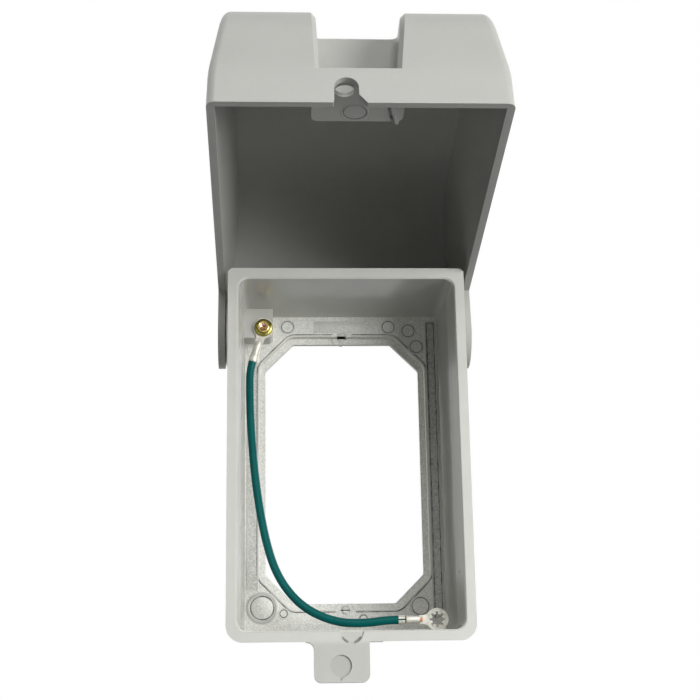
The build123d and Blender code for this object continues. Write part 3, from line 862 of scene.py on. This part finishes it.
def build_cross(form):
    """Two tapered bars that cross, from below the dish to above the collar."""
    for turn in (30, 120):
        spin = SCREW_SEAT @ Matrix.Rotation(math.radians(turn), 4, "Z")
        rings = []
        for rise, long, wide in ((0.35, 0.35, 0.12), (2.2, 1.25, 0.3)):
            points = [Vector((sx * long, sy * wide, rise)) for sx, sy in SQUARE]
            rings.append([form.verts.new(spin @ p) for p in points])
        join_rings(form, rings)


def cut_recess(piece):
    """Cuts the cross out of the head and keeps the result as a plain mesh."""
    cross = mesh_in_metres("cross_cutter", build_cross)
    cutter = linked_object("cross_cutter", cross)
    cut = piece.modifiers.new("recess", "BOOLEAN")
    cut.operation = "DIFFERENCE"
    cut.solver = "EXACT"
    cut.use_self = True
    cut.object = cutter
    evaluated = piece.evaluated_get(bpy.context.evaluated_depsgraph_get())
    result = bpy.data.meshes.new_from_object(evaluated)
    piece.modifiers.clear()
    whole = piece.data
    piece.data = result
    bpy.data.objects.remove(cutter)
    bpy.data.meshes.remove(cross)
    bpy.data.meshes.remove(whole)
    print("screw head after the cut:", len(result.polygons), "faces")


cut_recess(screw_head)
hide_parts("ground_screw")

# %% [markdown]
# ## Copper strands and insulation ends
#
# The lead's conductor is seven fine strands with a lay. In the solids they are
# one plain core, and a bump could only hint at strands, so here each is a thin
# tube that winds about the terminal's axis. The jacket stops short of the crimp
# barrel and is squeezed by the grip, and a small turned piece shows that end at
# each terminal.

# %% Terminal seats
BARREL_START, BARREL_END = 5.0, 8.75
GRIP_START, GRIP_END = 9.15, 11.0
BARREL_RADIUS = 1.05


def terminal_seat(origin, along):
    """Matrix of a terminal: ring at the origin, barrel along X, Z away from the wall."""
    along = Vector(along).normalized()
    away = Vector((0, -1, 0))
    side = away.cross(along)
    return Matrix.Translation(origin) @ Matrix((along, side, away)).transposed().to_4x4()


def barrel_axis(seat):
    """The seat turned so that its third axis runs along the barrel."""
    return seat @ Matrix.Translation((0, 0, BARREL_RADIUS)) @ Matrix.Rotation(math.radians(90), 4, "Y")


FIXED_SEAT = terminal_seat((GROUND_SCREW[0], -PAD_LEVEL, GROUND_SCREW[1]), (-0.29, 0, -0.957))
FREE_SEAT = terminal_seat((24.75, -25.05, -46.6), (-1, 0, -0.009))
print("lead ends at", [round(v, 2) for v in FREE_SEAT @ Vector((GRIP_END, 0, BARREL_RADIUS))])

# %% Strands
OUTER_STRANDS = 6
STRAND_RADIUS = 0.18
STRAND_CIRCLE = 0.36
LAY_TURN = 2.2
LAY_STEPS = 24
TUBE_SIDES = 8


def build_strands(form, seat, begin, end):
    """Six strands wound about a seventh, between two places along the barrel."""
    turns = [2 * math.pi * k / TUBE_SIDES for k in range(TUBE_SIDES)]
    around = [Vector((0, STRAND_RADIUS * math.cos(a), STRAND_RADIUS * math.sin(a))) for a in turns]
    for strand in range(OUTER_STRANDS + 1):
        radius = STRAND_CIRCLE if strand < OUTER_STRANDS else 0
        rings = []
        for step in range(LAY_STEPS + 1):
            t = step / LAY_STEPS
            turn = 2 * math.pi * strand / OUTER_STRANDS + t * LAY_TURN
            across, up = radius * math.cos(turn), radius * math.sin(turn)
            centre = Vector((begin + (end - begin) * t, across, BARREL_RADIUS + up))
            rings.append([form.verts.new(seat @ (centre + p)) for p in around])
        join_rings(form, rings)


strands_fixed = mesh_piece(
    "twisted_strands_fixed",
    "frame",
    [copper],
    lambda form: build_strands(form, FIXED_SEAT, BARREL_START + 0.3, BARREL_END),
)
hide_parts("wire_strands_fixed")
strands_free = mesh_piece(
    "twisted_strands_free",
    "frame",
    [copper],
    lambda form: build_strands(form, FREE_SEAT, BARREL_START - 0.8, BARREL_END + 0.35),
)
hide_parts("wire_strands_free")

# %% Insulation ends
JACKET_CUT_END = [
    (0.5, BARREL_END + 0.2),
    (1.08, BARREL_END + 0.2),
    (1.16, BARREL_END + 0.24),
    (1.14, GRIP_START - 0.15),
    (0.9, GRIP_START - 0.02),
    (0.74, GRIP_START + 0.1),
]
JACKET_PAST_GRIP = [(0.74, GRIP_END - 0.1), (1.0, GRIP_END + 0.05), (1.17, GRIP_END + 0.3)]


def build_jacket_ends(form):
    """The jacket as it leaves each grip, and its cut end at the free terminal."""
    turn_profile(form, JACKET_PAST_GRIP, barrel_axis(FIXED_SEAT), 24)
    turn_profile(form, JACKET_CUT_END + JACKET_PAST_GRIP, barrel_axis(FREE_SEAT), 24)


mesh_piece("jacket_ends", "frame", [insulation], build_jacket_ends)

# %% [markdown]
# ## Back of the fixed crimp
#
# The fixed terminal is crimped with its seam to the wall, so its smooth back
# faces out and neither copper nor jacket shows between the ring and the grip.
# The sheet could be bent and formed, but one turned sleeve with a waist gives
# that back.

# %% Crimp back
def build_crimp_back(form):
    """A sleeve over the barrel that widens to the grip."""
    barrel = [(0.5, 4.6), (0.85, 4.65), (1.08, 5.1), (1.14, 6.2), (1.16, 8.3)]
    grip = [(1.24, 8.9), (1.36, 9.5), (1.4, 10.9), (1.34, 11.35), (1.1, 11.4)]
    turn_profile(form, barrel + grip, barrel_axis(FIXED_SEAT), 24)


mesh_piece("crimp_back", "frame", [tinned], build_crimp_back)

# %% [markdown]
# ## The lead
#
# The lead is a flexible wire of fixed length. It could be a swept mesh, but one
# smooth spline can be bent again. Its control points are the corners of the
# route that the solid tube follows.

# %% Lead
WIRE_RADIUS = 1.2 * MM
wire_route = [
    (-27.09, -15.05, 31.57),
    (-27.93, -15.05, 28.8),
    (-28.0, -15.35, 22.3),
    (-27.65, -16.15, 10.8),
    (-26.2, -18.05, -6.6),
    (-23.3, -20.7, -23.8),
    (-19.6, -22.2, -34.7),
    (-12.9, -23.75, -42.9),
    (-3.6, -25.0, -47.2),
    (4.8, -25.75, -47.5),
    (10.15, -26.1, -46.74),
    (13.75, -26.1, -46.7),
]
curve = bpy.data.curves.new("ground_lead", "CURVE")
curve.dimensions = "3D"
curve.bevel_depth = WIRE_RADIUS
curve.bevel_resolution = 6
curve.resolution_u = 16
curve.use_fill_caps = True
spline = curve.splines.new("NURBS")
spline.points.add(len(wire_route) - 1)
for point, corner in zip(spline.points, wire_route):
    point.co = (*(v * MM for v in corner), 1)
spline.order_u = 3
spline.use_endpoint_u = True
curve.materials.append(insulation)
lead = linked_object("ground_lead", curve)
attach(lead, "frame")
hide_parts("ground_wire")
print("lead control points:", len(wire_route))

# %% [markdown]
# ## Studio
#
# A pale floor and soft lamps, with a white surround for what the camera and the
# metal see. For rays that carry light the surround is dim, because a white one
# would flatten the deep hood. The floor could be lit until it is pale, but then
# the cover would be too bright, so it glows a little for the camera alone and
# still takes the shadow. It is see-through from below, so that the cover can be
# looked at from there too.

# %% World
WORLD_LIGHT = 0.07


def seen_ray(tree):
    """1 for a camera, glossy or transmission ray, and 0 for one that carries light."""
    path = tree.nodes.new("ShaderNodeLightPath")
    seen = math_node(tree, "ADD", path.outputs["Is Camera Ray"], path.outputs["Is Glossy Ray"], clamp=True)
    return math_node(tree, "ADD", seen, path.outputs["Is Transmission Ray"], clamp=True)


world = bpy.data.worlds.new("studio")
bpy.context.scene.world = world
world.use_nodes = True
tree = world.node_tree
background = tree.nodes["Background"]
background.inputs["Color"].default_value = (1, 1, 1, 1)
strength = add_parts(tree, WORLD_LIGHT, (seen_ray(tree), 1 - WORLD_LIGHT))
tree.links.new(strength, background.inputs["Strength"])
print("world light:", WORLD_LIGHT)

# %% Studio floor
STUDIO_HALF = 3
STUDIO_HEIGHT = -0.13
floor_paint, tree, shader = new_material("studio floor", (0.8, 0.8, 0.8), 0.8)
seen = seen_ray(tree)
paint = mixed_color(tree, seen, (0.16, 0.16, 0.16), (0.4, 0.4, 0.4))
glow = mixed_color(tree, seen, (0, 0, 0), (0.55, 0.55, 0.55))
underside = tree.nodes.new("ShaderNodeNewGeometry").outputs["Backfacing"]
tree.links.new(paint, shader.inputs["Base Color"])
tree.links.new(glow, shader.inputs["Emission Color"])
tree.links.new(math_node(tree, "SUBTRACT", 1, underside), shader.inputs["Alpha"])
shader.inputs["Emission Strength"].default_value = 1
corners = [(sx * STUDIO_HALF, sy * STUDIO_HALF, STUDIO_HEIGHT) for sx, sy in SQUARE]
floor_mesh = bpy.data.meshes.new("studio_floor")
floor_mesh.from_pydata(corners, [], [(0, 1, 2, 3)])
floor_mesh.materials.append(floor_paint)
linked_object("studio_floor", floor_mesh)
print("studio floor at", STUDIO_HEIGHT)

# %% Lamps
LAMPS = {
    "key": ((0.64, -0.90, 0.03), 0.5, 8.7),
    "low": ((0.5, -0.45, -0.1), 0.3, 1.8),
    "fill": ((0.0, -0.92, 0.77), 0.7, 5.4),
    "left": ((-0.9, 0.16, 0.3), 0.2, 4.0),
    "back": ((0.8, 0.9, 0.4), 0.6, 5.0),
}
LAMP_TARGET = Vector((0, -0.03, 0.02))


def soft_lamp(name, place, size, power):
    """A square soft lamp aimed at the middle of the cover."""
    light = bpy.data.lights.new(name, "AREA")
    light.shape = "SQUARE"
    light.size = size
    light.energy = power
    lamp = linked_object(name, light)
    lamp.location = place
    lamp.rotation_euler = (LAMP_TARGET - Vector(place)).to_track_quat("-Z", "Y").to_euler()


for name, (place, size, power) in LAMPS.items():
    soft_lamp(name, place, size, power)
print("lamps:", sorted(LAMPS))

# %% Camera
CAMERA_PLACE = (-0.02168, -0.44675, -0.08912)
CAMERA_TURN = (106.014, 0.916, -2.888)
camera_data = bpy.data.cameras.new("photo_camera")
camera_data.lens = 76.8
camera_data.sensor_width = 36
camera = linked_object("photo_camera", camera_data)
camera.location = CAMERA_PLACE
camera.rotation_euler = [math.radians(turn) for turn in CAMERA_TURN]
bpy.context.scene.camera = camera
bpy.context.scene.view_settings.view_transform = "Standard"
print("camera at", CAMERA_PLACE)
